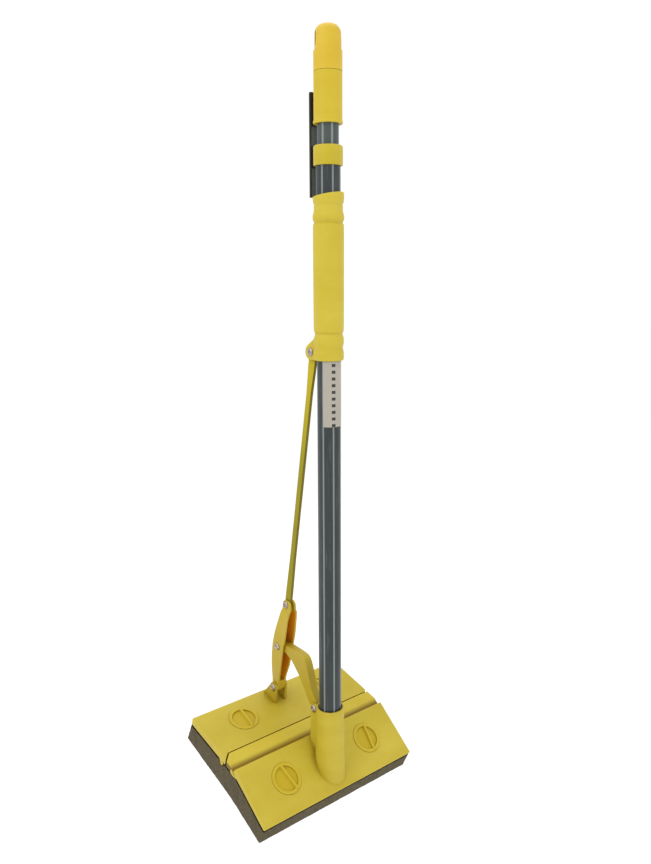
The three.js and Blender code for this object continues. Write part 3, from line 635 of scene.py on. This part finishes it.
# The lowest and highest corner, in mm, of two boxes that close the gaps between the CAD's blocks.
FILLERS = [
    ((-109.9, 30.5, -799.9), (109.9, 37.5, -768.4)),
    ((-109.9, 57, -789.4), (109.9, 63, -765.3)),
]
VOXEL = 0.0016


def add_box(bm, low, high):
    low, high = Vector(low) * MM, Vector(high) * MM
    middle, size = (low + high) / 2, high - low
    matrix = Matrix.Translation(middle) @ Matrix.Diagonal((*size, 1))
    bmesh.ops.create_cube(bm, size=1, matrix=matrix)


def whole_foam():
    """The three CAD blocks as one fine skin, so that no step shows where they meet."""
    bm = bmesh.new()
    for node in SPONGES:
        bm.from_mesh(NODES[node].data)
    bmesh.ops.remove_doubles(bm, verts=bm.verts, dist=1e-6)
    for low, high in FILLERS:
        add_box(bm, low, high)
    mesh = bpy.data.meshes.new("foam_fine")
    bm.to_mesh(mesh)
    bm.free()
    temp = bpy.data.objects.new("foam_temp", mesh)
    bpy.context.scene.collection.objects.link(temp)
    remesh = temp.modifiers.new("remesh", "REMESH")
    remesh.mode = "VOXEL"
    remesh.voxel_size = VOXEL
    relax = temp.modifiers.new("relax", "SMOOTH")
    relax.factor = 0.4
    relax.iterations = 1
    depsgraph = bpy.context.evaluated_depsgraph_get()
    fine = bpy.data.meshes.new_from_object(temp.evaluated_get(depsgraph))
    bpy.data.objects.remove(temp)
    return fine


# Cells per metre, and depth in metres, of what is worked into the foam's skin.
WAVE_SCALE, WAVE_DEPTH = 45, 0.00016
CUT_SCALE, CUT_DEPTH = 330, 0.00016
CELL_SCALE, CELL_DEPTH = 260, 0.00010
SKIN_DEPTH = 0.00002


def open_cells(mesh):
    """Works the foam's skin: slow waves, cut marks and open cells."""
    normals = [vertex.normal.copy() for vertex in mesh.vertices]
    for vertex, normal in zip(mesh.vertices, normals):
        p = vertex.co
        wave = noise.noise(p * WAVE_SCALE)
        rough = noise.noise(p * CUT_SCALE)
        cell = noise.cell(p * CELL_SCALE)
        depth = SKIN_DEPTH + WAVE_DEPTH * wave + CUT_DEPTH * rough + CELL_DEPTH * cell
        vertex.co = p - normal * depth


def foam_slice(mesh, *planes):
    """The part of the skin on the inner side of each plane, closed again with a sharp rim."""
    bm = bmesh.new()
    bm.from_mesh(mesh)
    for point, normal in planes:
        everything = bm.verts[:] + bm.edges[:] + bm.faces[:]
        cut = bmesh.ops.bisect_plane(
            bm, geom=everything, plane_co=point, plane_no=normal, clear_outer=True)
        rim = [e for e in cut["geom_cut"] if isinstance(e, bmesh.types.BMEdge)]
        filled = bmesh.ops.holes_fill(bm, edges=rim)
        bmesh.ops.triangulate(bm, faces=filled["faces"])
        for edge in rim:
            edge.smooth = False
    bmesh.ops.recalc_face_normals(bm, faces=bm.faces)
    part = bpy.data.meshes.new("foam_part")
    bm.to_mesh(part)
    bm.free()
    return part


def foam_block(name, node, body, mesh, material):
    piece = new_piece(name, mesh, material, body, "sponge", node)
    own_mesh(piece)


# The foam is cut at the two hinges, with a slit of this half width.
SLIT = 0.03 * MM
ALONG = Vector((0, 1, 0))
FRONT_CUT = Vector((0, 33.9, -780)) * MM
REAR_CUT = Vector((0, 60.6, -764.5)) * MM
REAR_CUT_NORMAL = Vector((0, 0.9997, -0.0251))


def make_foam():
    skin = whole_foam()
    open_cells(skin)
    slit = ALONG * SLIT
    front = foam_slice(skin, (FRONT_CUT - slit, ALONG))
    centre = foam_slice(skin, (FRONT_CUT + slit, -ALONG), (REAR_CUT - slit, REAR_CUT_NORMAL))
    rear = foam_slice(skin, (REAR_CUT + slit, -REAR_CUT_NORMAL))
    foam_block("front_foam", "front_sponge", "main", front, FRONT_FOAM)
    foam_block("centre_foam", "centre_sponge", "strip", centre, REAR_FOAM)
    foam_block("rear_foam", "rear_sponge", "rear", rear, REAR_FOAM)


make_foam()


def lathe_x(name, profile, y, z, steps=40):
    """A closed turned body about a line along X; profile is (radius, x) from end to end."""
    bm = bmesh.new()
    turns = [math.tau * i / steps for i in range(steps)]
    rings = []
    for radius, x in profile:
        if radius < 1e-7:
            rings.append([bm.verts.new((x, y, z))])
            continue
        ring = [(x, y + radius * math.cos(t), z + radius * math.sin(t)) for t in turns]
        rings.append([bm.verts.new(point) for point in ring])
    for a, b in zip(rings, rings[1:]):
        for i in range(steps):
            j = (i + 1) % steps
            corners = [a[i % len(a)], a[j % len(a)], b[j % len(b)], b[i % len(b)]]
            unique = list(dict.fromkeys(corners))
            bm.faces.new(unique)
    bmesh.ops.recalc_face_normals(bm, faces=bm.faces)
    mesh = bpy.data.meshes.new(name)
    bm.to_mesh(mesh)
    bm.free()
    return mesh


# A rolled rivet head as (radius, depth from its crest) in mm, from the hollow middle outwards.
RIVET_HEAD = [
    (0, 1.9), (1.1, 1.85), (1.55, 1.5), (1.75, 0.7), (1.95, 0.2), (2.3, 0.0), (2.8, 0.0),
    (3.3, 0.18), (3.9, 0.6), (4.35, 1.1), (4.5, 1.42), (4.3, 1.5), (2.4, 1.5),
]
# The shank's radius, and the chamfer and radius of its plain end, in metres.
SHANK = 0.0024
SHANK_CHAMFER = 0.0002
SHANK_END = 0.0022


def rivet_profile(x0, x1, heads):
    near = [(r * MM, x0 + d * MM) for r, d in RIVET_HEAD]
    far = [(r * MM, x1 - d * MM) for r, d in reversed(RIVET_HEAD)]
    if heads == "near":
        return near + [(SHANK, x1 - SHANK_CHAMFER), (SHANK_END, x1), (0, x1)]
    if heads == "far":
        return [(0, x0), (SHANK_END, x0), (SHANK, x0 + SHANK_CHAMFER)] + far
    return near + far


# Each rivet's body, and which of its ends have a head.
RIVETS = {
    "grip_rivet": ("grip", "both"),
    "clevis_rivet": ("rear", "both"),
    "arm_socket_rivet": ("main", "both"),
    "rod_rivet_near": ("lever_body", "near"),
    "rod_rivet_far": ("lever_body", "far"),
    "arm_rivet_near": ("lever_body", "near"),
    "arm_rivet_far": ("lever_body", "far"),
}


def make_rivets():
    for node, (body, heads) in RIVETS.items():
        low, high = (Vector(corner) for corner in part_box(node))
        middle = (low + high) / 2
        profile = rivet_profile(low.x, high.x, heads)
        mesh = lathe_x(node + "_turned", profile, middle.y, middle.z)
        new_piece(node + "_turned", mesh, STEEL, body, "steel", node)


make_rivets()

# ---- CAD nodes: smooth round faces and a small soft edge ----
REPLACED = set(RIVETS) | set(SPONGES)
LEAVES = ("front_wing", "centre_strip", "rear_wing")
SOFT_EDGE = 0.4 * MM
LEAF_EDGE = 0.6 * MM


def soften(name, width):
    node = NODES[name]
    for poly in node.data.polygons:
        poly.use_smooth = True
    weld = node.modifiers.new("weld", "WELD")
    weld.merge_threshold = 1e-6
    flat = node.modifiers.new("flat", "DECIMATE")
    flat.decimate_type = "DISSOLVE"
    flat.angle_limit = math.radians(0.4)
    bevel = node.modifiers.new("bevel", "BEVEL")
    bevel.width = width
    bevel.segments = 2
    bevel.limit_method = "ANGLE"
    bevel.angle_limit = math.radians(32)
    bevel.use_clamp_overlap = True
    bevel.miter_outer = "MITER_ARC"
    # Large faces set the normals of their bevels, which keeps flat wings free of shading marks.
    even = node.modifiers.new("even", "WEIGHTED_NORMAL")
    even.weight = 90
    even.thresh = 0.0001


for name in NODES:
    if name not in REPLACED:
        soften(name, LEAF_EDGE if name in LEAVES else SOFT_EDGE)
